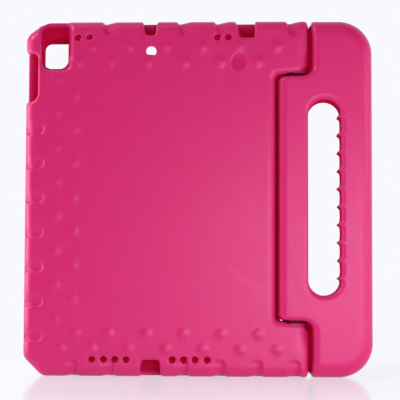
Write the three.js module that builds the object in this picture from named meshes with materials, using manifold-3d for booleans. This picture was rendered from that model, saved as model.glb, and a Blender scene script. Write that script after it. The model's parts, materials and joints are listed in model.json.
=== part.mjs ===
// A foam case for a tablet, with a handle that folds back on two hinges and becomes a stand.
//
// Millimetres, +Z up. The case stands on its short bottom edge, its back faces -Y and the
// screen faces +Y. The handle is at +X. The origin is at the middle of the footprint.

import * as THREE from "three";
import { mergeVertices } from "three/addons/utils/BufferGeometryUtils.js";
import Module from "manifold-3d";

const wasm = await Module();
wasm.setup();

// ---------- driving dimensions ----------

const caseWidth = 269;
const caseHeight = 275;
const cornerRadius = 17;
const left = -caseWidth / 2; // every X below is measured from this edge

// Body: a tray that wraps the tablet, with an ear above and below the hinge.
const bodyHalfDepth = 11;
const bodyBevel = 6;
const bodyRight = left + 220;
const notchLeft = left + 194.5;
const earRoot = 232.9; // underside of the upper ear where it meets the notch
const earTip = 234.9; // the same underside at the ear's end
const earCornerRadius = 8;

// Tablet bay and the rim in front of it.
const tabletWidth = 174.6;
const tabletLength = 250.6;
const tabletMiddle = left + 98.2;
const bayBack = -2.8;
const bayFront = 5;
const bayCornerRadius = 10;
const rimOverlap = 4;
const rimEdge = 3.2;
const rimSlope = 6;

// Handle.
const handleHalfDepth = 12;
const handleBevel = 8;
const handleCornerRadius = 26;
const tongueLeft = left + 196.5;
const shoulderLeft = left + 222.5;
const tongueRoot = 230.6; // top of the tongue at its free end
const tongueShoulder = 232.7; // the same edge where it meets the shoulder
const gripWindow = { left: left + 219.5, right: left + 244.1, bottom: 62.3, top: 212.8 };
const fingerRibs = { count: 10, first: 75.4, pitch: 13.86, radius: 2.4, halfLength: 5 };

// Hinges: the same hardware twice, on one vertical axis.
const hingeX = left + 209;
const earRadius = bodyHalfDepth;
const tongueRadius = 12.5;
const gapMiddle = 232.8; // height of the gap between the tongue and the upper ear
const halfGap = 1.3;
const clearance = 0.3;
const socketRadius = 7; // to the corners of the hexagon
const socketLength = 22;
const flangeRadius = 8.5;
const flangeThickness = 1.6;
const pinRadius = 4;
const pinHalfLength = 19.5;
const pinChamfer = 1;
const boreClearance = 0.2;
const boreEnd = 20.4;
const groove = { from: 13, to: 17, radius: 3.3 };
const bead = { from: 14, to: 16, radius: 3.6, lead: 0.6 };
const washerRadius = 9.5;
const washerThickness = 2;

// Grip recesses that run over the edges of the body.
const recessDepth = 1.6;
const recessWidth = 10;
const leftRecesses = { count: 7, first: 32, pitch: 26.6, reach: 15.7 };
const topRecesses = { centres: [66, 124, 153, 209], reach: 12.6 };
const bottomRecesses = { centres: [38.7, 66.9, 123.6, 151.8, 180.3, 209.2], reach: 14.1 };

// Openings cut into the body.
const cameraCut = { left: 12.2, right: 35.9, bottom: 236, radius: 8 };
const volumeCut = { right: 11.6, bottom: 210.6, top: 252.2, radius: 5 };
const topCuts = [
  { left: 90.7, right: 103.5, bottom: 262.2, radius: 2 },
  { left: 162.7, right: 180, bottom: 260.8, radius: 3 },
];
const portCut = { left: 89.4, right: 107.5, top: 13.4, radius: 2.5 };
const micHole = { x: 98.2, z: 250.7, radius: 3.75 };
const markRecess = { x: 166.6, z: 242.4, radius: 6.6, depth: 0.8 };
const speakerRadius = 2.7;
const topSpeakers = { z: 261.8, xs: [41.1, 50.1, 149.5, 158] };
const bottomSpeakers = { z: 13, xs: [53.9, 62.8, 71.6, 80.2, 115.6, 124.3, 133.1, 142.3] };

const beyond = 10; // how far a cutting shape reaches past the face that it cuts
const endSlack = 0.1; // keeps a round end a little short of a full half circle
const roundSegments = 24;
const quarterTurn = Math.PI / 2;
const sixthTurn = Math.PI / 3;

// ---------- shapes and solids ----------

// The solid that a closed geometry bounds.
function solid(geometry) {
  geometry.deleteAttribute("normal");
  geometry.deleteAttribute("uv");
  const merged = mergeVertices(geometry, 1e-4);
  const vertProperties = new Float32Array(merged.attributes.position.array);
  const triVerts = new Uint32Array(merged.index.array);
  return new wasm.Manifold(new wasm.Mesh({ numProp: 3, vertProperties, triVerts }));
}

// A geometry made from a solid.
function geometryOf(manifold) {
  const mesh = manifold.getMesh();
  const geometry = new THREE.BufferGeometry();
  geometry.setAttribute("position", new THREE.BufferAttribute(mesh.vertProperties, 3));
  geometry.setIndex(new THREE.BufferAttribute(mesh.triVerts, 1));
  geometry.computeVertexNormals();
  return geometry;
}

// A closed path through corners given as [x, z, radius], anticlockwise.
function outline(corners, path = new THREE.Shape()) {
  corners.forEach(([x, z, radius], i) => {
    const corner = new THREE.Vector2(x, z);
    const previous = corners[(i + corners.length - 1) % corners.length];
    const next = corners[(i + 1) % corners.length];
    const back = new THREE.Vector2(previous[0] - x, previous[1] - z).normalize();
    const ahead = new THREE.Vector2(next[0] - x, next[1] - z).normalize();
    if (radius === 0) {
      if (i === 0) path.moveTo(x, z);
      else path.lineTo(x, z);
      return;
    }
    const half = Math.acos(back.dot(ahead)) / 2;
    const start = corner.clone().addScaledVector(back, radius / Math.tan(half));
    const end = corner.clone().addScaledVector(ahead, radius / Math.tan(half));
    const inward = back.clone().add(ahead).normalize();
    const centre = corner.clone().addScaledVector(inward, radius / Math.sin(half));
    const clockwise = back.cross(ahead) > 0;
    path.absarc(
      centre.x,
      centre.y,
      radius,
      start.sub(centre).angle(),
      end.sub(centre).angle(),
      clockwise,
    );
  });
  path.closePath();
  return path;
}

// A rectangle with round corners. Corners with radius 0 stay square.
function rectangle(x0, x1, z0, z1, radius, path = new THREE.Shape()) {
  return outline([[x0, z0, radius], [x1, z0, radius], [x1, z1, radius], [x0, z1, radius]], path);
}

// A slab of an outline in the X-Z plane between two Y planes. Its mid-plane has the full
// outline, and a bevel rounds its edges inward.
function slab(shape, back, front, bevel = 0, curveSegments = 4) {
  const geometry = new THREE.ExtrudeGeometry(shape, {
    depth: front - back - 2 * bevel,
    bevelEnabled: bevel > 0,
    bevelThickness: bevel,
    bevelSize: bevel,
    bevelOffset: -bevel,
    bevelSegments: 4,
    curveSegments,
  });
  geometry.rotateX(quarterTurn);
  geometry.translate(0, front - bevel, 0);
  return solid(geometry);
}

// A cylinder along Y.
function drill(x, z, radius, back, front, segments = 16) {
  const geometry = new THREE.CylinderGeometry(radius, radius, front - back, segments);
  geometry.translate(x, (back + front) / 2, z);
  return solid(geometry);
}

// A cylinder along Z on the hinge axis.
function post(radius, bottom, top, segments = roundSegments) {
  const geometry = new THREE.CylinderGeometry(radius, radius, top - bottom, segments);
  geometry.rotateX(quarterTurn);
  geometry.translate(hingeX, 0, (bottom + top) / 2);
  return solid(geometry);
}

// A box between two corners.
function box(x0, y0, z0, x1, y1, z1) {
  const geometry = new THREE.BoxGeometry(x1 - x0, y1 - y0, z1 - z0);
  geometry.translate((x0 + x1) / 2, (y0 + y1) / 2, (z0 + z1) / 2);
  return solid(geometry);
}

// A solid of revolution round the hinge axis. The profile is [radius, height] pairs.
function turned(profile) {
  const points = profile.map(([radius, height]) => new THREE.Vector2(radius, height));
  const geometry = new THREE.LatheGeometry(points, roundSegments);
  geometry.rotateX(quarterTurn);
  geometry.translate(hingeX, 0, 0);
  return solid(geometry);
}

const joined = (solids) => solids.reduce((whole, part) => whole.add(part));

// ---------- body shell ----------

// The body's outline, made smaller all round by an inset.
function bodyOutline(inset = 0) {
  const underside = (height) => caseHeight - height - inset;
  return outline([
    [left + inset, inset, cornerRadius - inset],
    [bodyRight, inset, 0],
    [bodyRight, underside(earTip), earCornerRadius],
    [notchLeft - inset, underside(earRoot), 2],
    [notchLeft - inset, earRoot + inset, 2],
    [bodyRight, earTip + inset, earCornerRadius],
    [bodyRight, caseHeight - inset, 0],
    [left + inset, caseHeight - inset, cornerRadius - inset],
  ]);
}

// What is left of the block right of the hinge axis once the ear's round end is taken out.
function outsideEars() {
  const block = box(hingeX, -beyond * 2, -1, bodyRight + beyond, beyond * 2, caseHeight + 1);
  return block.subtract(post(earRadius, -2, caseHeight + 2, 32));
}

// The recesses are prisms that reach down to a slightly smaller slab.
function gripRecesses() {
  const back = -bodyHalfDepth - 1;
  const half = recessWidth / 2;
  const radius = half - endSlack;
  const prism = (x0, x1, z0, z1) => slab(rectangle(x0, x1, z0, z1, radius), back, bayFront);
  const prisms = [];
  for (let i = 0; i < leftRecesses.count; i++) {
    const z = leftRecesses.first + i * leftRecesses.pitch;
    prisms.push(prism(left - beyond, left + leftRecesses.reach, z - half, z + half));
  }
  for (const x of topRecesses.centres) {
    const low = caseHeight - topRecesses.reach;
    prisms.push(prism(left + x - half, left + x + half, low, caseHeight + beyond));
  }
  for (const x of bottomRecesses.centres) {
    prisms.push(prism(left + x - half, left + x + half, -beyond, bottomRecesses.reach));
  }
  const depth = bodyHalfDepth - recessDepth;
  const inner = slab(bodyOutline(recessDepth), -depth, bayFront + 2 * bodyBevel, bodyBevel);
  return joined(prisms).subtract(inner);
}

// The space that the tablet fills, and the screen window with its sloped rim in front.
function tabletBay() {
  const x0 = tabletMiddle - tabletWidth / 2;
  const x1 = tabletMiddle + tabletWidth / 2;
  const z0 = (caseHeight - tabletLength) / 2;
  const z1 = (caseHeight + tabletLength) / 2;
  const bay = slab(rectangle(x0, x1, z0, z1, bayCornerRadius), bayBack, bayFront);
  const lap = rimOverlap;
  const windowShape = rectangle(x0 + lap, x1 - lap, z0 + lap, z1 - lap, 5.5);
  const window = slab(windowShape, bayFront - 1, bodyHalfDepth + 1);
  const slope = new THREE.ExtrudeGeometry(windowShape, {
    depth: 1,
    bevelThickness: bodyHalfDepth - bayFront - rimEdge + 0.5, // half a millimetre past the face
    bevelSize: rimSlope,
    bevelSegments: 1,
    curveSegments: 4,
  });
  slope.rotateX(quarterTurn);
  slope.computeBoundingBox();
  slope.translate(0, bayFront + rimEdge - slope.boundingBox.min.y, 0);
  return bay.add(window).add(solid(slope));
}

// Cuts for the camera, buttons, sockets and speakers.
function bodyOpenings() {
  const back = -bodyHalfDepth - 1;
  const over = caseHeight + beyond;
  const cut = (x0, x1, z0, z1, radius) =>
    slab(rectangle(left + x0, left + x1, z0, z1, radius), back, bayFront);
  const cuts = [
    cut(cameraCut.left, cameraCut.right, cameraCut.bottom, over, cameraCut.radius),
    cut(-beyond, volumeCut.right, volumeCut.bottom, volumeCut.top, volumeCut.radius),
    cut(portCut.left, portCut.right, -beyond, portCut.top, portCut.radius),
    drill(left + micHole.x, micHole.z, micHole.radius, back, bayBack + 1),
  ];
  for (const top of topCuts) {
    cuts.push(cut(top.left, top.right, top.bottom, over, top.radius));
  }
  for (const speakers of [topSpeakers, bottomSpeakers]) {
    for (const x of speakers.xs) {
      cuts.push(drill(left + x, speakers.z, speakerRadius, back, bayBack + 4, 12));
    }
  }
  const markFloor = -bodyHalfDepth + markRecess.depth;
  cuts.push(drill(left + markRecess.x, markRecess.z, markRecess.radius, back, markFloor, 20));
  return joined(cuts);
}

function bodyShell() {
  return slab(bodyOutline(), -bodyHalfDepth, bodyHalfDepth, bodyBevel)
    .subtract(outsideEars())
    .subtract(gripRecesses())
    .subtract(tabletBay())
    .subtract(bodyOpenings())
    .subtract(upperHinge(socketPocket()))
    .subtract(lowerHinge(socketPocket()));
}

// ---------- handle ----------

function handleOutline() {
  const mirror = (height) => caseHeight - height;
  const right = left + caseWidth;
  const shape = outline([
    [tongueLeft, mirror(tongueRoot), handleBevel + 1],
    [shoulderLeft, mirror(tongueShoulder), 5],
    [shoulderLeft, 0, 0],
    [right, 0, handleCornerRadius],
    [right, caseHeight, handleCornerRadius],
    [shoulderLeft, caseHeight, 0],
    [shoulderLeft, tongueShoulder, 5],
    [tongueLeft, tongueRoot, handleBevel + 1],
  ]);
  const { left: x0, right: x1, bottom, top } = gripWindow;
  const radius = (x1 - x0) / 2 - endSlack;
  shape.holes.push(rectangle(x0, x1, bottom, top, radius, new THREE.Path()));
  return shape;
}

// Small ribs for the fingers on the beam's inner side.
function gripRibs() {
  const { count, first, pitch, radius, halfLength } = fingerRibs;
  const ribs = [];
  for (let i = 0; i < count; i++) {
    const z = first + i * pitch;
    ribs.push(drill(gripWindow.right + 0.3, z, radius, -halfLength, halfLength, 12));
  }
  return joined(ribs);
}

// What is left of the block left of the hinge axis once the tongue's round end is taken out.
function outsideTongue() {
  const block = box(notchLeft - beyond, -beyond * 2, -1, hingeX, beyond * 2, caseHeight + 1);
  return block.subtract(post(tongueRadius, -2, caseHeight + 2, 32));
}

function handle() {
  return slab(handleOutline(), -handleHalfDepth, handleHalfDepth, handleBevel)
    .add(gripRibs())
    .subtract(outsideTongue())
    .subtract(upperHinge(flipped(socketPocket())))
    .subtract(lowerHinge(flipped(socketPocket())));
}

// ---------- hinge hardware ----------

// Hinge pieces are drawn round the gap's middle, with the ear above and the tongue below.
const flipped = (piece) => piece.mirror([0, 0, 1]);
const upperHinge = (piece) => piece.translate([0, 0, gapMiddle]);
const lowerHinge = (piece) => flipped(piece).translate([0, 0, caseHeight - gapMiddle]);

// The pocket in the foam that a hinge socket is pressed into, with a seat round it for the washer.
function socketPocket() {
  const flangeTop = halfGap + flangeThickness + clearance;
  const corner = socketRadius + clearance / Math.cos(sixthTurn / 2);
  const hexagon = post(corner, 0, socketLength + clearance, 6);
  const seat = post(washerRadius + clearance, -halfGap, halfGap);
  return post(flangeRadius + clearance, -1, flangeTop).add(hexagon).add(seat);
}

// A flanged hexagonal socket with a round bore. A bead in the bore snaps into the pin.
function hingeSocket() {
  const flange = post(flangeRadius, halfGap, halfGap + flangeThickness);
  const hexagon = post(socketRadius, halfGap + flangeThickness / 2, socketLength, 6);
  const bore = pinRadius + boreClearance;
  const boreShape = turned([
    [0, 0],
    [bore, 0],
    [bore, bead.from - bead.lead],
    [bead.radius, bead.from],
    [bead.radius, bead.to],
    [bore, bead.to + bead.lead],
    [bore, boreEnd],
    [0, boreEnd],
  ]);
  return flange.add(hexagon).subtract(boreShape);
}

// A pin with a snap groove near each end.
function hingePin() {
  const half = [
    [0, pinHalfLength],
    [pinRadius - pinChamfer, pinHalfLength],
    [pinRadius, pinHalfLength - pinChamfer],
    [pinRadius, groove.to],
    [groove.radius, groove.to],
    [groove.radius, groove.from],
    [pinRadius, groove.from],
  ];
  const otherHalf = half.map(([radius, height]) => [radius, -height]);
  return turned([...otherHalf, ...half.reverse()]);
}

// A washer that fills the gap and gives the handle its drag.
function frictionWasher() {
  const inner = pinRadius + boreClearance;
  const half = washerThickness / 2;
  return turned([
    [inner, -half],
    [washerRadius, -half],
    [washerRadius, half],
    [inner, half],
    [inner, -half],
  ]);
}

// ---------- materials and assembly ----------

const foam = { color: 0xcd2c6e, roughness: 0.55, metalness: 0 };
const socketPlastic = { color: 0xb3245f, roughness: 0.4, metalness: 0 };
const pinPlastic = { color: 0xd8d6d2, roughness: 0.35, metalness: 0 };
const washerPlastic = { color: 0x8e1c4c, roughness: 0.5, metalness: 0 };

function addPiece(group, name, piece, look) {
  const mesh = new THREE.Mesh(geometryOf(piece), new THREE.MeshStandardMaterial(look));
  mesh.name = name;
  group.add(mesh);
}

const tabletCase = new THREE.Group();
addPiece(tabletCase, "body_shell", bodyShell(), foam);
addPiece(tabletCase, "handle", handle(), foam);
for (const [side, place] of [["upper", upperHinge], ["lower", lowerHinge]]) {
  addPiece(tabletCase, side + "_ear_socket", place(hingeSocket()), socketPlastic);
  addPiece(tabletCase, side + "_handle_socket", place(flipped(hingeSocket())), socketPlastic);
  addPiece(tabletCase, side + "_hinge_pin", place(hingePin()), pinPlastic);
  addPiece(tabletCase, side + "_friction_washer", place(frictionWasher()), washerPlastic);
}

export default tabletCase;
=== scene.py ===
# A foam case for a tablet, seen from its back, with a handle that folds back on two hinges.
#
# The CAD model is the frame. The two foam mouldings are modelled here as distance fields: a
# field holds, for each point of a grid, how far the point is from the moulding's surface, and is
# negative inside. Fields are joined, cut and rounded, and a smooth mesh is drawn round the result.
#
# Fields are in millimetres: X from the case's left edge, Y as in the frame, Z from the floor.

import json
import math

import bpy
import numpy as np
from mathutils import Matrix, Vector


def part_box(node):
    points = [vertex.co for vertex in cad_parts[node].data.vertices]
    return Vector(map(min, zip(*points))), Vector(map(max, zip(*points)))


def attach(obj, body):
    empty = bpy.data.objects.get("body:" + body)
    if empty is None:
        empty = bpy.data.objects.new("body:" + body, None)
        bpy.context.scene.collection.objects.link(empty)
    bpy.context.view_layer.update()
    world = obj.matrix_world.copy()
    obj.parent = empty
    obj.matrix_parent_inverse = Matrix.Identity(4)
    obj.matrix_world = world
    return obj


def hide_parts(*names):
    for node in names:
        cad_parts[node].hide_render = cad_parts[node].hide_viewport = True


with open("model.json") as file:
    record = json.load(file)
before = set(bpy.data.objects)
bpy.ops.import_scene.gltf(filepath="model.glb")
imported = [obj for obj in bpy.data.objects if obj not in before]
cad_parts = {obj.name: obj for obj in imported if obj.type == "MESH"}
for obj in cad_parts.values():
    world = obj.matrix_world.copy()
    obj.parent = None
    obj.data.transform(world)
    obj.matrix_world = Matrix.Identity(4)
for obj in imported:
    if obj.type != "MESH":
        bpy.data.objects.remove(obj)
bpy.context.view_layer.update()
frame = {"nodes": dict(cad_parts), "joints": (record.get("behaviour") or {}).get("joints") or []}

# ---------- sizes taken from the frame ----------

MM = 0.001
BODY_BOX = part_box("body_shell")
HANDLE_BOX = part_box("handle")
HINGE = frame["joints"][0]["pos_m"]

LEFT = BODY_BOX[0].x / MM
HEIGHT = BODY_BOX[1].z / MM
HANDLE_RIGHT = HANDLE_BOX[1].x / MM - LEFT
BODY_DEPTH = BODY_BOX[1].y / MM
HANDLE_DEPTH = HANDLE_BOX[1].y / MM
AXIS = HINGE[0] / MM - LEFT
EAR_RADIUS = BODY_BOX[1].x / MM - LEFT - AXIS
UPPER_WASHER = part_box("upper_friction_washer")
GAP_MIDDLE = (UPPER_WASHER[0].z + UPPER_WASHER[1].z) / 2 / MM
BACK = -BODY_DEPTH

# ---------- mesh quality ----------

STEP = 0.8
FACE_LIMIT = 190000
MARGIN = 1.5  # empty grid round each moulding
EDGE_REACH = 1.6  # how deep under the surface the edges are felt for

# ---------- grids ----------


class Grid:
    """A block of grid points, with a distance field over it."""

    def __init__(self, low, high, step):
        self.low = np.array(low, float)
        self.step = step
        ticks = [np.arange(a, b + step, step, dtype=np.float32) for a, b in zip(low, high)]
        self.x = ticks[0][:, None, None]
        self.y = ticks[1][None, :, None]
        self.z = ticks[2][None, None, :]
        self.field = None
        self.block = None  # the field before anything was cut from it

    def part(self, region):
        """The slices of the grid inside an (x0, x1, z0, z1) region."""
        x0, x1, z0, z1 = region
        i0, i1 = np.searchsorted(self.x.ravel(), [x0, x1])
        k0, k1 = np.searchsorted(self.z.ravel(), [z0, z1])
        return slice(i0, i1), slice(None), slice(k0, k1)

    def axes(self, part):
        return self.x[part[0]], self.y, self.z[:, :, part[2]]


# ---------- joining and rounding fields ----------


def rounded_and(a, b, radius):
    """The overlap of two shapes, with the edge between them rounded."""
    corner = np.hypot(np.maximum(radius + a, 0), np.maximum(radius + b, 0))
    return np.minimum(-radius, np.maximum(a, b)) + corner


def rounded_or(a, b, radius):
    """Two shapes together, with the inner corner between them filled."""
    corner = np.hypot(np.maximum(radius - a, 0), np.maximum(radius - b, 0))
    return np.maximum(radius, np.minimum(a, b)) - corner


def smoothstep(value, start, end):
    """0 up to start and 1 from end, with a smooth rise between. End may lie below start."""
    t = np.clip((value - start) / (end - start), 0, 1)
    return t * t * (3 - 2 * t)


def part_way(start, end, share):
    return start + (end - start) * share


def carve(grid, region, tool, radius):
    """Cuts a tool shape out of a grid's field, inside a region, and rounds the new edges."""
    part = grid.part(region)
    field = grid.field[part]
    grid.field[part] = rounded_and(field, -tool(*grid.axes(part)), radius)


def around(x0, x1, z0, z1, margin=4):
    """A region with a margin on every side."""
    return x0 - margin, x1 + margin, z0 - margin, z1 + margin


# ---------- flat outlines ----------


def path_points(corners, turn_step=math.radians(3)):
    """Points along a closed path through (x, z, radius) corners."""
    points = []
    for i, (x, z, radius) in enumerate(corners):
        corner = Vector((x, z))
        back = (Vector(corners[i - 1][:2]) - corner).normalized()
        ahead = (Vector(corners[(i + 1) % len(corners)][:2]) - corner).normalized()
        if radius == 0:
            points.append(corner)
            continue
        half = back.angle(ahead) / 2
        centre = corner + (back + ahead).normalized() * radius / math.sin(half)
        start = corner + back * radius / math.tan(half) - centre
        end = corner + ahead * radius / math.tan(half) - centre
        first = math.atan2(start.y, start.x)
        turn = (math.atan2(end.y, end.x) - first + math.pi) % math.tau - math.pi
        steps = max(2, math.ceil(abs(turn) / turn_step))
        for k in range(steps + 1):
            angle = first + turn * k / steps
            points.append(centre + radius * Vector((math.cos(angle), math.sin(angle))))
    return points


def path_field(corners, x, z):
    """Signed distance from each (x, z) to a closed path, negative inside."""
    points = path_points(corners)
    px, pz = np.broadcast_arrays(x, z)
    nearest = np.full(px.shape, 1e9, np.float32)
    inside = np.zeros(px.shape, bool)
    for a, b in zip(points, points[1:] + points[:1]):
        ex, ez = b.x - a.x, b.y - a.y
        length = ex * ex + ez * ez
        if length < 1e-12:
            continue
        wx, wz = px - a.x, pz - a.y
        t = np.clip((wx * ex + wz * ez) / length, 0, 1)
        nearest = np.minimum(nearest, (wx - t * ex) ** 2 + (wz - t * ez) ** 2)
        if ez != 0:
            between = (pz >= min(a.y, b.y)) & (pz < max(a.y, b.y))
            inside ^= between & (px < a.x + wz * ex / ez)
    return np.where(inside, -1, 1) * np.sqrt(nearest)


def box_field(x, z, x0, x1, z0, z1, radius):
    """Signed distance to a rectangle with round corners."""
    qx = np.abs(x - (x0 + x1) / 2) - (x1 - x0) / 2 + radius
    qz = np.abs(z - (z0 + z1) / 2) - (z1 - z0) / 2 + radius
    outside = np.hypot(np.maximum(qx, 0), np.maximum(qz, 0))
    return outside + np.minimum(np.maximum(qx, qz), 0) - radius


def rounded_slab(flat, y, low, high, back_radius, front_radius):
    """A flat shape given thickness between two Y planes, with both edges rounded."""
    middle = (low + high) / 2
    radius = np.where(y < middle, back_radius, front_radius)
    a = flat + radius
    b = np.abs(y - middle) - (high - low) / 2 + radius
    return np.minimum(np.maximum(a, b), 0) + np.hypot(np.maximum(a, 0), np.maximum(b, 0)) - radius


# ---------- meshing ----------


def cell_vertices(grid):
    """One vertex for each cell that the surface passes through, and the cells' numbers."""
    field = grid.field
    inside = (field < 0).astype(np.uint8)
    ends = (slice(None, -1), slice(1, None))
    total = np.zeros([n - 1 for n in field.shape], np.uint8)
    for i in range(8):
        total += inside[ends[i & 1], ends[i >> 1 & 1], ends[i >> 2]]
    active = (total > 0) & (total < 8)
    number = np.full(total.shape, -1, np.int32)
    number[active] = np.arange(active.sum())
    cells = np.argwhere(active)
    place = np.zeros(cells.shape)
    hits = np.zeros(len(cells))
    for axis in range(3):
        for i in range(4):
            start = np.insert([i & 1, i >> 1], axis, 0)
            along = np.eye(3, dtype=int)[axis]
            a = field[tuple((cells + start).T)]
            b = field[tuple((cells + start + along).T)]
            crossed = (a < 0) != (b < 0)
            t = (a / np.where(crossed, a - b, 1))[crossed]
            place[crossed] += start + t[:, None] * along
            hits[crossed] += 1
    return grid.low + grid.step * (cells + place / hits[:, None]), number


def cell_faces(grid, number):
    """A square for each grid edge that the surface crosses, wound so that it faces outward."""
    inside = grid.field < 0
    squares = []
    for axis in range(3):
        first = [slice(None)] * 3
        second = [slice(None)] * 3
        first[axis] = slice(None, -1)
        second[axis] = slice(1, None)
        leaving = inside[tuple(first)] & ~inside[tuple(second)]
        entering = ~inside[tuple(first)] & inside[tuple(second)]
        u = np.eye(3, dtype=int)[(axis + 1) % 3]
        v = np.eye(3, dtype=int)[(axis + 2) % 3]
        for mask, order in ((leaving, 1), (entering, -1)):
            edge = np.argwhere(mask)
            ring = [edge - u - v, edge - v, edge, edge - u][::order]
            squares.append(np.stack([number[tuple(c.T)] for c in ring], 1))
    return np.concatenate(squares)


def sample(grid, points, field=None):
    """A field's value at any point, from the eight grid points round it."""
    field = grid.field if field is None else field
    place = (points - grid.low) / grid.step
    cell = np.clip(place.astype(int), 0, np.array(field.shape) - 2)
    t = place - cell
    value = np.zeros(len(points))
    for i in range(8):
        bit = np.array([i & 1, i >> 1 & 1, i >> 2])
        weight = np.prod(np.where(bit, t, 1 - t), axis=1)
        value += weight * field[tuple((cell + bit).T)]
    return value


def slope(grid, points, reach):
    """The field's slope at each point, which is the direction that the surface faces."""
    parts = []
    for axis in range(3):
        offset = np.eye(3)[axis] * grid.step * reach
        parts.append(sample(grid, points + offset) - sample(grid, points - offset))
    return np.stack(parts, 1) / (2 * grid.step * reach)


def unit(vectors):
    return vectors / np.maximum(np.linalg.norm(vectors, axis=1), 1e-9)[:, None]


def edge_sharpness(grid, points, normals):
    """How much the surface bulges: 1 on a sharp outer edge, 0 where flat, negative in a corner."""
    return sample(grid, points - normals * EDGE_REACH) + EDGE_REACH


def buried(grid, points):
    """How deep each point lies inside the plain block, in mm, and 0 on the bay's floor and lip.

    The margins take in points that the mesh holds a little off those faces.
    """
    depth = np.maximum(-sample(grid, points, grid.block), 0)
    x, y, z = points.T
    in_bay = box_field(x, z, *BAY["x"], *BAY["z"], BAY["radius"]) < 1.5
    on_floor = np.abs(y - BAY["back"]) < 0.6
    on_lip = y > RIM_EDGE - 1
    in_mark = np.hypot(x - MARK["x"], z - MARK["z"]) < MARK["radius"]
    on_back = y < BACK + 3
    # the mark's floor counts as deeper, so the painted shade paints it darker
    depth += MARK["floor_darkening"] * (in_mark & on_back)
    return np.where(in_bay & (on_floor | on_lip), 0, depth)


def field_mesh(name, grid):
    """A smooth mesh of a grid's zero surface, in frame metres, under the face limit.

    Each vertex starts near the surface, and two steps along the field's slope bring it there.
    """
    points, number = cell_vertices(grid)
    faces = cell_faces(grid, number)
    for _ in range(2):
        pull = slope(grid, points, 0.5)
        steepness = np.maximum((pull**2).sum(1), 0.2)
        points = points - pull * (sample(grid, points) / steepness)[:, None]
    mesh = bpy.data.meshes.new(name)
    mesh.from_pydata(points.tolist(), [], faces.tolist())
    if 2 * len(faces) > FACE_LIMIT:
        mesh = thinned(mesh, FACE_LIMIT / (2 * len(faces)))
    finish_mesh(mesh, grid)
    mesh.name = name
    return mesh


def thinned(mesh, ratio):
    """The mesh with fewer faces, taken mostly from its flat parts."""
    carrier = bpy.data.objects.new("carrier", mesh)
    bpy.context.scene.collection.objects.link(carrier)
    modifier = carrier.modifiers.new("thin", "DECIMATE")
    modifier.ratio = ratio
    graph = bpy.context.evaluated_depsgraph_get()
    result = bpy.data.meshes.new_from_object(carrier.evaluated_get(graph))
    bpy.data.objects.remove(carrier)
    bpy.data.meshes.remove(mesh)
    return result


def finish_mesh(mesh, grid):
    """Smooth shading from the field's own slope, two attributes, and frame metres."""
    flat = np.zeros(len(mesh.vertices) * 3, np.float32)
    mesh.vertices.foreach_get("co", flat)
    points = flat.reshape(-1, 3).astype(float)
    normals = unit(slope(grid, points, 0.8))
    for name, values in (
        ("edge", edge_sharpness(grid, points, normals)),
        ("buried", buried(grid, points)),
    ):
        layer = mesh.attributes.new(name, "FLOAT", "POINT")
        layer.data.foreach_set("value", values.astype(np.float32))
    points[:, 0] += LEFT
    mesh.vertices.foreach_set("co", (points * MM).astype(np.float32).ravel())
    mesh.shade_smooth()
    mesh.normals_split_custom_set_from_vertices(normals.astype(np.float32))
    mesh.update()


def add_piece(name, mesh, body, material):
    """Puts a mesh in the scene, riding on a body of the frame."""
    piece = bpy.data.objects.new(name, mesh)
    bpy.context.scene.collection.objects.link(piece)
    mesh.materials.append(material)
    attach(piece, body)
    return piece


# ---------- body: main shape ----------

BODY_BACK_RADIUS = 8.5
BODY_FRONT_RADIUS = 6
BLOCK_BEYOND = 30  # how far the uncut block runs on past the hinge axis
BOTTOM_CUT = {"size": 14.45, "radius": 8.6}  # the bottom left corner, cut off at 45 degrees
TOP_CUT = {"across": 15, "foot": 263.6, "upper_radius": 13, "lower_radius": 9}

HALF_GAP = 0.7  # at the hinge axis, from the gap's middle to an ear or the tongue
UNDERSIDE_RISE = 0.09  # slope of an ear's underside
UNDERSIDE_CURVE = 0.016  # how the slope grows past the hinge axis
TONGUE_FALL = 0.075  # slope of the tongue's top edge before the hinge axis

NOTCH_LIP = 196
TONGUE_SWEEP = 14.95  # the notch's hollow wall, just outside the tongue's swing
NOTCH_EDGE = {"back": 5, "front": 2}
NOTCH_CORNER = {"back": 3.5, "front": 5}
NOTCH_CORNER_CHANGE = (-1, 4)  # how far behind the case's middle the corner changes
FOLDED = math.radians(105)
FOLDED_PLAY = 0.4  # between the notch's back edge and the folded handle's back

EAR_POWER = 3.2  # how square the ear's end is on the back, where 2 is a circle
EAR_CORNER = 7.5
EAR_EDGE = 2.5
EAR_CORNER_ENDS = (GAP_MIDDLE + 7, GAP_MIDDLE + 26)  # where the corner shrinks to the edge
EAR_ROUNDED = 9  # from the hinge axis to where the ear's end is fully rounded
EAR_LEAN = 0.9  # how far the ear's end leans in at its top
EAR_LEAN_DEPTH = 8


def body_block(grid):
    """The body before anything is cut, out past the ears' round ends."""
    beyond = AXIS + BLOCK_BEYOND
    outline = [
        (0, BOTTOM_CUT["size"], BOTTOM_CUT["radius"]),
        (BOTTOM_CUT["size"], 0, BOTTOM_CUT["radius"]),
        (beyond, 0, 0),
        (beyond, HEIGHT, 0),
        (TOP_CUT["across"], HEIGHT, TOP_CUT["upper_radius"]),
        (0, TOP_CUT["foot"], TOP_CUT["lower_radius"]),
    ]
    flat = path_field(outline, grid.x, grid.z)
    return rounded_slab(flat, grid.y, -BODY_DEPTH, BODY_DEPTH, BODY_BACK_RADIUS, BODY_FRONT_RADIUS)


def from_middle(z):
    """Height measured so that the lower half of the case mirrors the upper half."""
    return np.maximum(z, HEIGHT - z)


def underside(x):
    """Height of the upper ear's underside, which rises towards the ear's end."""
    out = x - AXIS
    curve = UNDERSIDE_CURVE * np.maximum(out, 0) ** 2
    return GAP_MIDDLE + HALF_GAP + UNDERSIDE_RISE * out + curve


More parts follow.
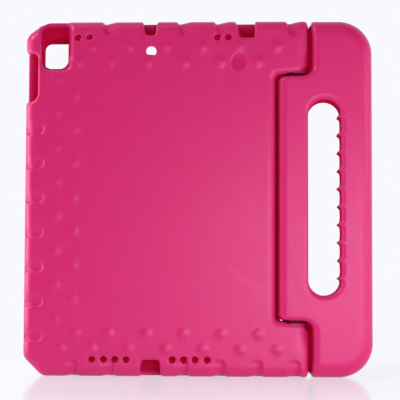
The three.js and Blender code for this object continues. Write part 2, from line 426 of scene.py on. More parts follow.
def tongue_top(x):
    """Height of the tongue's top edge, a little below the ear."""
    return GAP_MIDDLE - HALF_GAP + TONGUE_FALL * np.minimum(x - AXIS, 0)


def cut_notch(grid):
    """Cuts the notch for the tongue.

    Its wall is hollow and follows the tongue's swing. Its back edge leans away, to clear the
    handle's back when the handle is folded.
    """
    x, y, z = grid.x, grid.y, grid.z
    wall = np.hypot(np.minimum(x - AXIS, 0), y) - TONGUE_SWEEP
    wall = np.minimum(wall, NOTCH_LIP - x)
    folded_back = -(x - AXIS) * math.sin(FOLDED) - y * math.cos(FOLDED) - HANDLE_DEPTH
    wall = np.minimum(wall, folded_back - FOLDED_PLAY)
    to_back = smoothstep(-y, *NOTCH_CORNER_CHANGE)
    corner = part_way(NOTCH_CORNER["front"], NOTCH_CORNER["back"], to_back)
    tool = rounded_and(from_middle(z) - underside(x), wall, corner)
    edge = np.where(y < 0, NOTCH_EDGE["back"], NOTCH_EDGE["front"])
    grid.field = rounded_and(grid.field, -tool, edge)


def round_ears(grid):
    """Ends both ears in a round about the hinge axis, with a softer corner by the tongue."""
    x, y, z = grid.x, grid.y, grid.z
    up = from_middle(z)
    lean = EAR_LEAN * smoothstep(up, HEIGHT - EAR_LEAN_DEPTH, HEIGHT)
    out = np.maximum(x - AXIS, 0)
    power = np.where(y < 0, EAR_POWER, 2)
    end = (out**power + np.abs(y) ** power) ** (1 / power) - EAR_RADIUS + lean
    by_tongue = 1 - smoothstep(up, *EAR_CORNER_ENDS)
    corner = part_way(EAR_EDGE, EAR_CORNER, by_tongue)
    corner = corner * smoothstep(x, AXIS, AXIS + EAR_ROUNDED)
    grid.field = rounded_and(grid.field, end, corner)


# ---------- body: grip recesses ----------

PAST_EDGE = 20  # how far a cut runs out past the body's edge
RECESS_WIDTH = 10.5
RECESS_DEPTH = 2
RECESS_CORNER = 4.2
RECESS_LEAN = 0.5  # how far the step leans back for each mm of depth
RECESS_SOFT = 0.8  # the radius of its edges
RECESS_FRONT_EDGE = 3  # the radius where it ends, towards the screen side
RECESS_RUN = (0.1, 1.05)  # where the floor starts to rise and stops, as shares of the width
RECESS_RISE = 0.93  # the share of the depth that the floor rises

LEFT_RECESSES = {"step": "below", "reach": 15.7, "front": -4, "slant": 0}
TOP_RECESSES = {"step": "left", "reach": 12.6, "front": 5, "slant": 0.15}
BOTTOM_RECESSES = {"step": "right", "reach": 13, "front": 5, "slant": 0}
LEFT_MIDDLES = [31.5 + 26.6 * i for i in range(7)]
TOP_MIDDLES = (67, 125, 154, 209.5)
BOTTOM_MIDDLES = (38, 66.2, 122.9, 151.1, 179.6, 208.5)


def recess(grid, x0, x1, z0, z1, row):
    """A grip recess over the body's edge: a step at one side, running out at the other."""
    part = grid.part(around(x0, x1, z0, z1))
    x, y, z = grid.axes(part)
    body = grid.field[part]
    x = x + row["slant"] * (z - z0)
    from_step = {"below": z - z0, "left": x - x0, "right": x1 - x}[row["step"]]
    rise = RECESS_RISE * smoothstep(from_step / RECESS_WIDTH, *RECESS_RUN)
    wall = box_field(x, z, x0, x1, z0, z1, RECESS_CORNER) - RECESS_LEAN * np.minimum(body, 0)
    wall = rounded_and(wall, y - row["front"], RECESS_FRONT_EDGE)
    kept = rounded_or(-wall, body + RECESS_DEPTH * (1 - rise), RECESS_SOFT)
    grid.field[part] = rounded_and(body, kept, RECESS_SOFT)


def cut_recesses(grid):
    """Three rows, one each along the left, top and bottom edges."""
    half = RECESS_WIDTH / 2
    for z in LEFT_MIDDLES:
        recess(grid, -PAST_EDGE, LEFT_RECESSES["reach"], z - half, z + half, LEFT_RECESSES)
    low, high = HEIGHT - TOP_RECESSES["reach"], HEIGHT + PAST_EDGE
    for x in TOP_MIDDLES:
        recess(grid, x - half, x + half, low, high, TOP_RECESSES)
    for x in BOTTOM_MIDDLES:
        recess(grid, x - half, x + half, -PAST_EDGE, BOTTOM_RECESSES["reach"], BOTTOM_RECESSES)


# ---------- body: tablet bay and openings ----------

BAY = {"x": (10.9, 185.5), "z": (12.2, 262.8), "back": -2.8, "front": 5, "radius": 10}
BAY_EDGE = 1.2
RIM_OVERLAP = {"x": 2.2, "z": 3.2}
RIM_EDGE = 8.2  # the Y where the rim's slope starts
RIM_SLOPE = 6  # how far the slope opens the window
WINDOW_RADIUS = 5.5
WINDOW_EDGE = 1.5
CUT_OVERLAP = 2  # how far the window's cut reaches into the bay
WINDOW_SCALE = 0.6  # the field grows too fast over the rim's slope, so it is scaled down
WHOLE = (-math.inf, math.inf, -math.inf, math.inf)


def bay(x, y, z):
    """The space for the tablet."""
    flat = box_field(x, z, *BAY["x"], *BAY["z"], BAY["radius"])
    middle = (BAY["back"] + BAY["front"]) / 2
    return np.maximum(flat, np.abs(y - middle) - (BAY["front"] - BAY["back"]) / 2)


def screen_window(x, y, z):
    """The opening in front of the screen, with a sloped rim."""
    x0, x1 = BAY["x"]
    z0, z1 = BAY["z"]
    lap_x, lap_z = RIM_OVERLAP["x"], RIM_OVERLAP["z"]
    flat = box_field(x, z, x0 + lap_x, x1 - lap_x, z0 + lap_z, z1 - lap_z, WINDOW_RADIUS)
    opening = np.maximum(y - RIM_EDGE, 0) * RIM_SLOPE / (BODY_DEPTH - RIM_EDGE)
    return np.maximum((flat - opening) * WINDOW_SCALE, BAY["front"] - CUT_OVERLAP - y)


def cut_bay(grid):
    carve(grid, WHOLE, bay, BAY_EDGE)
    carve(grid, WHOLE, screen_window, WINDOW_EDGE)


def through_wall(flat, y, taper, depth):
    """A cut from the back as far as the rim, which narrows by taper over its first depth."""
    inset = taper * np.clip((y - BACK) / depth, 0, 1)
    return np.maximum(flat + inset, y - BAY["front"])


CAMERA_MOUTH = {"x": (11.4, 36.7), "bottom": 234.9, "radius": 8, "edge": 1.5}
CAMERA_THROAT = {"x": (13.2, 32.1), "bottom": 238.8, "radius": 6.5, "depth": 8}
SCOOP = {"start": 260, "end": HEIGHT - 1.5, "rise": 7.5, "scale": 0.85}


def cut_camera(grid):
    """The camera hole, which funnels inward, under a scoop for the power button."""
    mouth, throat = CAMERA_MOUTH, CAMERA_THROAT
    past_top = HEIGHT + 2 * PAST_EDGE

    def tool(x, y, z):
        t = np.clip((y - BACK) / throat["depth"], 0, 1)
        x0 = part_way(mouth["x"][0], throat["x"][0], t)
        x1 = part_way(mouth["x"][1], throat["x"][1], t)
        bottom = part_way(mouth["bottom"], throat["bottom"], t)
        radius = part_way(mouth["radius"], throat["radius"], t)
        flat = box_field(x, z, x0, x1, bottom, past_top, radius)
        floor = BAY["front"] - SCOOP["rise"] * smoothstep(z, SCOOP["start"], SCOOP["end"])
        return np.maximum(flat, (y - floor) * SCOOP["scale"])

    carve(grid, around(*mouth["x"], mouth["bottom"], HEIGHT), tool, mouth["edge"])


VOLUME = {"x": 10.8, "z": (210.2, 249.3), "radii": (8.5, 4.5), "mouth": 257.9, "edge": 1.3}
VOLUME_TAPER = {"taper": 1.2, "depth": 4}


def cut_volume(grid):
    """The long cut in the left edge, with a slanted upper side."""
    x = VOLUME["x"]
    low, high = VOLUME["z"]
    low_radius, high_radius = VOLUME["radii"]
    outline = [
        (-PAST_EDGE, low, 0),
        (x, low, low_radius),
        (x, high, high_radius),
        (-PAST_EDGE, VOLUME["mouth"], 0),
    ]

    def tool(x, y, z):
        return through_wall(path_field(outline, x, z), y, **VOLUME_TAPER)

    carve(grid, around(-PAST_EDGE, x, low, VOLUME["mouth"]), tool, VOLUME["edge"])


OVER = HEIGHT + 12
UNDER = -12
SOCKET_EDGE = 1
SOCKET_TAPER = {"taper": 0.8, "depth": 3}
SOCKET_CUTS = {
    "top_microphone": [(93.1, 262.7, 2.8), (101.5, 262.7, 2.8), (105.6, OVER, 0), (87.8, OVER, 0)],
    "headphone": [(166.4, 260.8, 3), (178.7, 260.8, 3), (180, OVER, 0), (159.4, OVER, 0)],
    "charging": [(88, UNDER, 0), (108.9, UNDER, 0), (106.1, 13.5, 2.8), (91.5, 13.5, 2.8)],
}


def cut_sockets(grid):
    """The microphone and headphone cuts in the top edge, and the charging cut in the bottom."""
    for outline in SOCKET_CUTS.values():

        def tool(x, y, z, outline=outline):
            return through_wall(path_field(outline, x, z), y, **SOCKET_TAPER)

        xs = [corner[0] for corner in outline]
        zs = [corner[1] for corner in outline]
        carve(grid, around(min(xs), max(xs), min(zs), max(zs)), tool, SOCKET_EDGE)


BACK_MICROPHONE = {"x": 98.2, "z": 250.7, "radius": 3.75, "edge": 0.7, "flare": 0.2}
SPEAKER_HOLE = {"radius": 2.6, "edge": 0.6, "floor": BAY["back"] + 4}
TOP_HOLES = {"z": 261.8, "x": (41.1, 50.1, 149.5, 158)}
BOTTOM_HOLES = {"z": 13, "x": (53.9, 62.8, 71.6, 80.2, 115.6, 124.3, 133.1, 142.3)}


def drill(grid, x0, z0, radius, floor, edge, flare=0):
    """A round hole from the back as far as a floor plane, which can flare on its way in."""

    def tool(x, y, z):
        bore = radius + flare * np.maximum(y - BACK, 0)
        return np.maximum(np.hypot(x - x0, z - z0) - bore, y - floor)

    carve(grid, around(x0 - radius, x0 + radius, z0 - radius, z0 + radius), tool, edge)


def drill_holes(grid):
    hole = BACK_MICROPHONE
    place = (hole["x"], hole["z"])
    drill(grid, *place, hole["radius"], BAY["front"], hole["edge"], hole["flare"])
    for row in (TOP_HOLES, BOTTOM_HOLES):
        for x in row["x"]:
            drill(grid, x, row["z"], **SPEAKER_HOLE)


MARK = {
    "x": 166.6,
    "z": 242.4,
    "radius": 6.4,
    "depth": 1.3,
    "hollow": 0.3,  # how much deeper the middle of the floor is
    "hollow_radius": 2,
    "edge": 0.35,
    "floor_darkening": 1.3,  # mm added to its depth, which paints its floor darker through the painted shade
}


def cut_mark(grid):
    """The shallow round recess that a mould insert leaves, with a slightly hollow floor."""
    x0, z0, radius = MARK["x"], MARK["z"], MARK["radius"]

    def tool(x, y, z):
        reach = np.hypot(x - x0, z - z0)
        floor = BACK + MARK["depth"] - MARK["hollow"] * smoothstep(reach, MARK["hollow_radius"], radius)
        return np.maximum(reach - radius, y - floor)

    region = around(x0 - radius, x0 + radius, z0 - radius, z0 + radius)
    carve(grid, region, tool, MARK["edge"])


# ---------- body: domed bumps ----------

BUMP_RADIUS = 4.1
BUMP_FOOT = 0.7  # the radius that joins a bump to the back
LEFT_BUMP_HEIGHT = 0.6
TOP_BUMP_HEIGHT = 0.7
BOTTOM_BUMP_HEIGHT = 0.8


def bump_places():
    """Where the bumps are: a staggered double row along the left, top and bottom."""
    left = [(24.3, 43.4 + 26.5 * i) for i in range(8)]
    left += [(38, 58.4 + 26.4 * i) for i in range(7)]
    top = [(x, 254.6) for x in (51.3, 80.1, 108.9, 137.5, 166.1, 195.5)]
    top += [(x, 242.5) for x in (40.6, 66.2, 95, 123.7, 151.9, 180.8)]
    bottom = [(x, 21.3) for x in (29.3, 53.5, 81.5, 110.6, 138.8, 167.4, 195.5)]
    bottom += [(x, 33) for x in (40.7, 66.4, 95.6, 123.9, 152.9, 181.4)]
    rows = ((left, LEFT_BUMP_HEIGHT), (top, TOP_BUMP_HEIGHT), (bottom, BOTTOM_BUMP_HEIGHT))
    return [(x, z, height) for places, height in rows for x, z in places]


def add_bump(grid, x0, z0, height):
    """Joins the cap of a large ball to the back."""
    size = BUMP_RADIUS
    ball = (size**2 + height**2) / (2 * height)
    depth = BACK - height + ball
    part = grid.part(around(x0 - size, x0 + size, z0 - size, z0 + size, 2))
    x, y, z = grid.axes(part)
    cap = np.sqrt((x - x0) ** 2 + (y - depth) ** 2 + (z - z0) ** 2) - ball
    joined = rounded_or(grid.field[part], cap, BUMP_FOOT)
    grid.field[part] = np.where(y < BACK / 2, joined, grid.field[part])


def add_bumps(grid):
    for x, z, height in bump_places():
        add_bump(grid, x, z, height)


# ---------- hinge pockets ----------

FLANGE_RADIUS = 8.8
FLANGE_DEPTH = 3.2
SEAT_RADIUS = 9.8
SEAT_DEPTH = 1.3
SOCKET_APOTHEM = 6.36
SOCKET_DEPTH = 22.3
POCKET_REGION = 26  # on each side of the gap's middle, more than a pocket's depth


def pocket(x, y, rise):
    """The pocket that a hinge socket is pressed into. Rise is measured from the gap's middle."""
    dx = np.abs(x - AXIS)
    reach = np.hypot(dx, y)
    flange = np.maximum(reach - FLANGE_RADIUS, rise - FLANGE_DEPTH)
    seat = np.maximum(reach - SEAT_RADIUS, rise - SEAT_DEPTH)
    hexagon = np.maximum(dx, dx / 2 + np.abs(y) * math.sin(math.pi / 3)) - SOCKET_APOTHEM
    well = np.maximum(hexagon, rise - SOCKET_DEPTH)
    return np.maximum(np.minimum(np.minimum(flange, seat), well), -rise - SEAT_DEPTH)


def cut_pockets(grid, away):
    """Cuts both pockets. Away is 1 for the ears and -1 for the tongue."""
    for middle, side in ((GAP_MIDDLE, 1), (HEIGHT - GAP_MIDDLE, -1)):
        part = grid.part(around(AXIS, AXIS, middle, middle, POCKET_REGION))
        x, y, z = grid.axes(part)
        tool = pocket(x, y, (z - middle) * side * away)
        grid.field[part] = np.maximum(grid.field[part], -tool)


def body_field():
    """The body on its grid, in the order in which its features are cut and added."""
    low = (-MARGIN, -HANDLE_DEPTH - MARGIN, -MARGIN)
    high = (AXIS + EAR_RADIUS + MARGIN, BODY_DEPTH + MARGIN, HEIGHT + MARGIN)
    grid = Grid(low, high, STEP)
    grid.field = body_block(grid).astype(np.float32)
    grid.block = grid.field.copy()
    cut_notch(grid)
    round_ears(grid)
    cut_recesses(grid)
    cut_bay(grid)
    cut_camera(grid)
    cut_volume(grid)
    cut_sockets(grid)
    drill_holes(grid)
    cut_mark(grid)
    add_bumps(grid)
    cut_pockets(grid, 1)
    return grid


# ---------- handle ----------

HANDLE_CORNER = 26
HANDLE_BACK_RADIUS = 11.5
HANDLE_FRONT_RADIUS = 10
HANDLE_START = 150  # well inside the body, until the tongue is cut free

SHOULDER_REACH = 13.2  # from the hinge axis to the shoulder's face on the back
SHOULDER_HUG = 13.1  # from the hinge axis to its hollow face on the screen side
SHOULDER_CHANGE = (0, 5)  # how far behind the case's middle one turns into the other
SHOULDER_FILLET = 7
SHOULDER_FOOT = (230, 238)  # where the tongue's edge turns into the shoulder's
SHOULDER_CREST = 261  # where the shoulder's edge starts to sharpen towards the top
TONGUE_END = 195.7
TONGUE_END_EDGE = 8
BACK_EDGE = {"tongue": 3.8, "shoulder": 6.8, "top": 1.5}
FRONT_EDGE = 2.5

GRIP = {"x": (219.4, 244.5), "z": (62.3, 212.8)}
GRIP_EDGE = {"plain": 3, "beam": 4.2, "end": 4.5}
GRIP_END = 16  # how far from each end the edge changes
GRIP_MARGIN = 12  # more than any of its edges
RIB_START = 3  # how far before the window's right side a rib has its full height
RIBS = {"count": 10, "first": 75.4, "pitch": 13.88, "height": 2.3, "half_width": 2}
RIB_POINT = 1.3  # how pointed a rib is, where 1 is a plain triangle
RIB_SWELL = 0.6  # how far the beam swells towards each rib


def handle_block(grid):
    """The handle before anything is cut, in past the hinge axis."""
    outline = [
        (HANDLE_START, 0, 0),
        (HANDLE_RIGHT, 0, HANDLE_CORNER),
        (HANDLE_RIGHT, HEIGHT, HANDLE_CORNER),
        (HANDLE_START, HEIGHT, 0),
    ]
    flat = path_field(outline, grid.x, grid.z)
    depths = (-HANDLE_DEPTH, HANDLE_DEPTH)
    return rounded_slab(flat, grid.y, *depths, HANDLE_BACK_RADIUS, HANDLE_FRONT_RADIUS)


def cut_tongue(grid):
    """Cuts the tongue free of the two ears. Its shoulders hug the ears' ends on the screen side."""
    x, y, z = grid.x, grid.y, grid.z
    up = from_middle(z)
    reach = part_way(SHOULDER_HUG, SHOULDER_REACH, smoothstep(-y, *SHOULDER_CHANGE))
    face = np.hypot(np.maximum(x - AXIS, 0), np.maximum(y, 0)) - reach
    tool = rounded_and(tongue_top(x) - up, face, SHOULDER_FILLET)
    edge = part_way(BACK_EDGE["tongue"], BACK_EDGE["shoulder"], smoothstep(up, *SHOULDER_FOOT))
    edge = part_way(edge, BACK_EDGE["top"], smoothstep(up, SHOULDER_CREST, HEIGHT))
    edge = np.where(y > 0, FRONT_EDGE, edge)
    grid.field = rounded_and(grid.field, TONGUE_END - x, TONGUE_END_EDGE)
    grid.field = rounded_and(grid.field, -tool, edge)


def rib_height(z):
    """How far the beam's inner side stands out at a height: a cusp at each rib, hollow between."""
    place = (z - RIBS["first"]) / RIBS["pitch"]
    nearest = np.clip(np.round(place), 0, RIBS["count"] - 1)
    away = np.abs(place - nearest) * RIBS["pitch"]
    cusp = RIBS["height"] * np.maximum(0, 1 - away / RIBS["half_width"]) ** RIB_POINT
    swell = RIB_SWELL * np.maximum(0, 1 - away / (RIBS["pitch"] / 2)) ** 2
    return cusp + swell


def grip_window(x, z):
    """The flat outline of the grip window, with the ribs on its right side."""
    x0, x1 = GRIP["x"]
    z0, z1 = GRIP["z"]
    nearly_round = (x1 - x0) / 2 - 0.1
    flat = box_field(x, z, x0, x1, z0, z1, nearly_round)
    on_beam = smoothstep(x, (x0 + x1) / 2, x1 - RIB_START)
    return flat + rib_height(z) * on_beam


def cut_grip(grid):
    """Cuts the grip window, with a wider edge on the beam and at the ends of the left side."""
    x0, x1 = GRIP["x"]
    z0, z1 = GRIP["z"]
    part = grid.part(around(x0, x1, z0, z1, GRIP_MARGIN))
    x, y, z = grid.axes(part)
    middle = (z0 + z1) / 2
    at_ends = smoothstep(np.abs(z - middle), (z1 - z0) / 2 - GRIP_END, (z1 - z0) / 2)
    left_edge = part_way(GRIP_EDGE["plain"], GRIP_EDGE["end"], at_ends)
    edge = part_way(left_edge, GRIP_EDGE["beam"], smoothstep(x, x0, x1))
    grid.field[part] = rounded_and(grid.field[part], -grip_window(x, z), edge)


def handle_field():
    """The handle on its grid."""
    low = (TONGUE_END - MARGIN, -HANDLE_DEPTH - MARGIN, -MARGIN)
    high = (HANDLE_RIGHT + MARGIN, HANDLE_DEPTH + MARGIN, HEIGHT + MARGIN)
    grid = Grid(low, high, STEP)
    grid.field = handle_block(grid).astype(np.float32)
    grid.block = grid.field.copy()
    cut_tongue(grid)
    cut_grip(grid)
    cut_pockets(grid, -1)
    return grid


# ---------- materials ----------


def linear(red, green, blue):
    """A colour given as 0-255 screen values, in the renderer's linear values."""
    values = []
    for value in (red, green, blue):
        v = value / 255
        values.append(v / 12.92 if v <= 0.04045 else ((v + 0.055) / 1.055) ** 2.4)
    return (*values, 1)


def map_range(tree, value, low, high, to_low, to_high, smooth=False):
    """A node that carries a value from one range to another."""
    node = tree.nodes.new("ShaderNodeMapRange")
    node.interpolation_type = "SMOOTHSTEP" if smooth else "LINEAR"
    node.inputs["From Min"].default_value = low
    node.inputs["From Max"].default_value = high
    node.inputs["To Min"].default_value = to_low
    node.inputs["To Max"].default_value = to_high
    tree.links.new(value, node.inputs["Value"])
    return node.outputs["Result"]


def mix_colours(tree, factor, first, second):
    """A node that mixes two colours. Each is a constant or another node's output."""
    node = tree.nodes.new("ShaderNodeMix")
    node.data_type = "RGBA"
    tree.links.new(factor, node.inputs["Factor"])
    colours = {socket.name: socket for socket in node.inputs if socket.type == "RGBA"}
    for key, colour in (("A", first), ("B", second)):
        if isinstance(colour, tuple):
            colours[key].default_value = colour
        else:
            tree.links.new(colour, colours[key])
    return [socket for socket in node.outputs if socket.type == "RGBA"][0]


def split(tree, vector, axis):
    """One axis of a vector."""
    node = tree.nodes.new("ShaderNodeSeparateXYZ")
    tree.links.new(vector, node.inputs["Vector"])
    return node.outputs[axis]


class Shader:
    """A material with a Principled shader, and short calls for the nodes that feed it."""

    def __init__(self, name):
        self.material = bpy.data.materials.new(name)
        self.material.use_nodes = True
        self.tree = self.material.node_tree
        self.nodes = self.tree.nodes
        self.links = self.tree.links
        self.surface = self.nodes["Principled BSDF"]
        self.place = self.nodes.new("ShaderNodeTexCoord").outputs["Object"]

    def noise(self, scale, detail=3, roughness=0.5):
        node = self.nodes.new("ShaderNodeTexNoise")
        node.inputs["Scale"].default_value = scale
        node.inputs["Detail"].default_value = detail
        node.inputs["Roughness"].default_value = roughness
        self.links.new(self.place, node.inputs["Vector"])
        return node.outputs["Fac"]

    def ranged(self, value, low, high, to_low, to_high):
        return map_range(self.tree, value, low, high, to_low, to_high)

    def attribute(self, name):
        node = self.nodes.new("ShaderNodeAttribute")
        node.attribute_name = name
        return node.outputs["Fac"]

    def mixed(self, factor, first, second):
        return mix_colours(self.tree, factor, first, second)

    def bump(self, layers):
        """Stacks (height, strength, distance) layers of bump into the shader's normal."""
        normal = None
        for height, strength, distance in layers:
            node = self.nodes.new("ShaderNodeBump")
            node.inputs["Strength"].default_value = strength
            node.inputs["Distance"].default_value = distance
            self.links.new(height, node.inputs["Height"])
            if normal is not None:
                self.links.new(normal, node.inputs["Normal"])
            normal = node.outputs["Normal"]
        self.links.new(normal, self.surface.inputs["Normal"])

    def set(self, **values):
        """Sets constants on the shader. A key's underscores stand for spaces."""
        for key, value in values.items():
            self.surface.inputs[key.replace("_", " ")].default_value = value

    def feed(self, key, value):
        self.links.new(value, self.surface.inputs[key])


FOAM = linear(199, 34, 101)
FOAM_DEEP = linear(195, 31, 97)
FOAM_PALE = linear(210, 56, 120)
PAINTED_CUT_SHADE = linear(160, 13, 56)  # painted shade: the darker red that the deep parts of the cuts and gaps are painted
PAINTED_CUT_GLOW = linear(122, 0, 18)  # painted light: a red glow given off by the deepest parts of the cuts and gaps
FOAM_ROUGHNESS = (0.33, 0.43)
FOAM_SPECULAR = 0.44
SHEEN_TINT = (1, 0.65, 1, 1)
PLASTIC_SPECULAR = 0.5
PLASTIC_ROUGHNESS_SPREAD = 0.07


def foam_material(name):
    """Pink EVA foam with a satin moulded skin: mottled, finely grained, paler on worn edges, with
    painted shade and a painted red glow deep in its cuts and gaps.
    """
    shader = Shader(name)
    mottle = shader.ranged(shader.noise(90, 4, 0.6), 0.3, 0.7, 0, 1)
    base = shader.mixed(mottle, FOAM_DEEP, FOAM)
    wear = shader.ranged(shader.attribute("edge"), 0.25, 1.1, 0, 0.35)
    worn = shader.mixed(wear, base, FOAM_PALE)
    buried_depth = shader.attribute("buried")
    # painted shade: the deeper a point lies inside the block, the darker red it is painted
    painted_shade = shader.ranged(buried_depth, 2, 5, 0, 1)
    gloss = shader.ranged(shader.noise(140, 4, 0.6), 0.3, 0.7, *FOAM_ROUGHNESS)
    shader.set(Emission_Color=PAINTED_CUT_GLOW, Specular_Tint=SHEEN_TINT, IOR=1.49)
    shader.feed("Base Color", shader.mixed(painted_shade, worn, PAINTED_CUT_SHADE))
    shader.feed("Roughness", gloss)
    # painted glow: the deepest parts of the cuts and gaps give off red light
    shader.feed("Emission Strength", shader.ranged(buried_depth, 3, 9, 0, 1))
    # no reflection in the cuts and gaps, as if they lay in shade
    shader.feed("Specular IOR Level", shader.ranged(buried_depth, 0.8, 3, FOAM_SPECULAR, 0))
    waves = (shader.noise(45, 2, 0.4), 0.05, 0.0006)
    grain = (shader.noise(900, 2, 0.6), 0.12, 0.00005)
    shader.bump([waves, grain])
    return shader.material


def plastic_material(name, colour, deep, roughness, grain, specular=PLASTIC_SPECULAR):
    """Moulded hinge plastic, a little uneven in colour and gloss."""
    shader = Shader(name)
    mottle = shader.ranged(shader.noise(260, 4, 0.6), 0.35, 0.65, 0, 1)
    low, high = roughness - PLASTIC_ROUGHNESS_SPREAD, roughness + PLASTIC_ROUGHNESS_SPREAD
    shader.feed("Base Color", shader.mixed(mottle, deep, colour))
    shader.feed("Roughness", shader.ranged(shader.noise(500, 3, 0.6), 0.3, 0.7, low, high))
    shader.set(Specular_IOR_Level=specular)
    shader.bump([(shader.noise(grain, 2, 0.5), 0.2, 0.00004)])
    return shader.material


# ---------- hinge hardware ----------

WASHER_HOLE = 4.2  # its radius
WASHER_EDGE = 0.35


def lathe(name, profile, centre, segments=96):
    """A ring turned about a vertical axis through centre. The profile is closed (radius, z)."""
    points = []
    faces = []
    count = len(profile)
    for i in range(segments):
        angle = math.tau * i / segments
        for radius, z in profile:
            offset = Vector((radius * math.cos(angle), radius * math.sin(angle), z))
            points.append(Vector(centre) + offset * MM)
        for j in range(count):
            here, there = i * count, (i + 1) % segments * count
            after = (j + 1) % count
            faces.append((here + j, there + j, there + after, here + after))
    mesh = bpy.data.meshes.new(name)
    mesh.from_pydata(points, [], faces)
    mesh.shade_smooth()
    return mesh


def washer_profile(inner, outer, thickness):
    """A washer's section with rounded outer edges."""
    half = thickness / 2
    edge = WASHER_EDGE
    arc = [math.radians(a) for a in range(0, 91, 15)]
    lower = [(outer - edge + edge * math.sin(a), -half + edge - edge * math.cos(a)) for a in arc]
    upper = [(r, -z) for r, z in reversed(lower)]
    return [(inner, -half), *lower, *upper, (inner, half)]


def make_washer(node, material):
    """A turned washer in the place of its CAD node, with the same size."""
    low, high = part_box(node)
    centre = (low + high) / 2
    outer = (high.x - low.x) / 2 / MM
    thickness = (high.z - low.z) / MM
    mesh = lathe(node + "_ring", washer_profile(WASHER_HOLE, outer, thickness), centre)
    piece = add_piece(node + "_ring", mesh, "case", material)
    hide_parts(node)


def recoat(node, material):
    """Gives a CAD piece that stays in the scene a better material."""
    for slot in frame["nodes"][node].material_slots:
        slot.material = material


def finish_hinges():
    """Turned washers painted the dark red of the shaded gap, and better plastics on the sockets and
    pins.
    """
    # painted shade: the washers get the dark red of the shaded gap that they sit in
    gap_shade_red, deeper_gap_shade_red = linear(96, 0, 16), linear(82, 0, 12)
    pink, deep_pink = linear(179, 36, 95), linear(160, 28, 82)
    ivory, deep_ivory = linear(216, 214, 210), linear(204, 200, 192)
    washer = plastic_material("washer_painted_gap_shade", gap_shade_red, deeper_gap_shade_red, 0.85, 1800, 0.05)
    socket = plastic_material("socket_nylon", pink, deep_pink, 0.42, 1400)
    pin = plastic_material("pin_acetal", ivory, deep_ivory, 0.32, 900)
    for side in ("upper", "lower"):
        make_washer(side + "_friction_washer", washer)
        recoat(side + "_ear_socket", socket)
        recoat(side + "_handle_socket", socket)
        recoat(side + "_hinge_pin", pin)


# ---------- stage ----------

PAPER = linear(248, 249, 253)
ROOM = linear(52, 50, 56)
BOARD = linear(244, 239, 255)
BOARD_TINT = (0.97, 0.92, 1, 1)
BOARD_GLOSS = 0.5  # how much of the board shows near the case, and the rest is plain paper
BOARD_FADE = (0.16, 0.5)  # how far out it fades, in metres
NEAR_CAMERA = (-0.25, -0.5)  # the Y over which the paper ends towards the camera
BACKDROP_EDGE = (-0.25, 0.35)  # the Y direction over which the room turns into paper
FLOOR_SIZE = 6


def floor_material():
    """Glossy white board close to the case, which fades into the background further out."""
    shader = Shader("white_board")
    tree = shader.tree
    shader.set(Base_Color=BOARD, Roughness=0.12, Specular_Tint=BOARD_TINT)
    distance = shader.nodes.new("ShaderNodeVectorMath")
    distance.operation = "LENGTH"
    tree.links.new(shader.place, distance.inputs[0])
    fade = shader.ranged(distance.outputs["Value"], *BOARD_FADE, 1 - BOARD_GLOSS, 1)
    near_camera = shader.ranged(split(tree, shader.place, "Y"), *NEAR_CAMERA, 0, 1)
    glow = shader.nodes.new("ShaderNodeEmission")
    tree.links.new(shader.mixed(near_camera, PAPER, ROOM), glow.inputs["Color"])
    blend = shader.nodes.new("ShaderNodeMixShader")
    tree.links.new(fade, blend.inputs["Fac"])
    tree.links.new(shader.surface.outputs["BSDF"], blend.inputs[1])
    tree.links.new(glow.outputs["Emission"], blend.inputs[2])
    output = shader.nodes["Material Output"]
    tree.links.new(blend.outputs["Shader"], output.inputs["Surface"])
    return shader.material


def make_floor():
    half = FLOOR_SIZE / 2
    mesh = bpy.data.meshes.new("floor")
    corners = [(-half, -half, 0), (half, -half, 0), (half, half, 0), (-half, half, 0)]
    mesh.from_pydata(corners, [], [(0, 1, 2, 3)])
    mesh.materials.append(floor_material())
    floor = bpy.data.objects.new("floor", mesh)
    bpy.context.scene.collection.objects.link(floor)


def make_world():
    """White paper behind the case, and a darker room behind the photographer."""
    world = bpy.data.worlds.new("studio")
    world.use_nodes = True
    tree = world.node_tree
    direction = tree.nodes.new("ShaderNodeTexCoord").outputs["Generated"]
    forward = split(tree, direction, "Y")
    behind = map_range(tree, forward, *BACKDROP_EDGE, 0, 1, smooth=True)
    colour = mix_colours(tree, behind, ROOM, PAPER)
    tree.links.new(colour, tree.nodes["Background"].inputs["Color"])
    bpy.context.scene.world = world
    bpy.context.scene.view_settings.view_transform = "Standard"


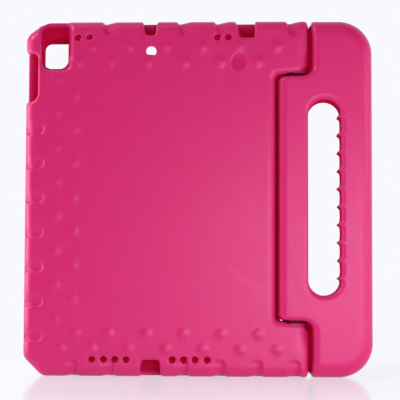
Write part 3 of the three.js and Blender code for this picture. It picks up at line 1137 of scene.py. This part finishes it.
def add_light(name, place, target, width, height, power):
    """A soft box at a place, turned to face a target."""
    lamp = bpy.data.lights.new(name, "AREA")
    lamp.shape = "RECTANGLE"
    lamp.size = width
    lamp.size_y = height
    lamp.energy = power
    light = bpy.data.objects.new(name, lamp)
    bpy.context.scene.collection.objects.link(light)
    away = Vector(place) - Vector(target)
    facing = away.to_track_quat("Z", "Y").to_matrix().to_4x4()
    light.matrix_world = Matrix.Translation(place) @ facing


def make_lights():
    """A key light low on the right, and four fills. Sizes are in metres and powers in watts."""
    middle = (0, 0, HEIGHT * MM / 2)
    add_light("key", (0.3, -0.58, 0.01), (0.04, 0, 0.04), 0.66, 0.36, 6.2)
    add_light("side_box", (-0.6, -0.26, 0.66), middle, 0.1, 0.1, 3)
    add_light("left_strip", (-0.5, -0.02, 0.12), middle, 0.3, 0.4, 1.9)
    add_light("right_strip", (0.7, -0.2, 0.2), middle, 0.3, 0.4, 1.2)
    add_light("top_box", (-0.1, -0.28, 0.85), middle, 0.3, 0.2, 0.5)


CAMERA = {"azimuth": 2.17, "elevation": -3.52, "roll": 0.22, "distance": 1}  # degrees and metres
CAMERA_LENS = 115.9
CAMERA_SENSOR = 36
CAMERA_TARGET = Vector((0.0015, 0, 0.136))


def make_camera():
    """The photograph's view: a long lens, low down and a little to the right."""
    azimuth = math.radians(CAMERA["azimuth"])
    elevation = math.radians(CAMERA["elevation"])
    level = math.cos(elevation)
    back = Vector((math.sin(azimuth) * level, -math.cos(azimuth) * level, math.sin(elevation)))
    data = bpy.data.cameras.new("camera")
    data.lens = CAMERA_LENS
    data.sensor_width = CAMERA_SENSOR
    camera = bpy.data.objects.new("camera", data)
    bpy.context.scene.collection.objects.link(camera)
    place = Matrix.Translation(CAMERA_TARGET + back * CAMERA["distance"])
    facing = back.to_track_quat("Z", "Y").to_matrix().to_4x4()
    roll = Matrix.Rotation(math.radians(CAMERA["roll"]), 4, "Z")
    camera.matrix_world = place @ facing @ roll
    bpy.context.scene.camera = camera


# ---------- the scene ----------


def make_foam(name, node, body, grid):
    """A foam moulding in the place of its CAD node. Its slot and material share its name."""
    piece = add_piece(name, field_mesh(name, grid), body, foam_material(name))
    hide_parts(node)


make_foam("foam_body", "body_shell", "case", body_field())
make_foam("foam_handle", "handle", "folding_handle", handle_field())
finish_hinges()
make_floor()
make_world()
make_lights()
make_camera()
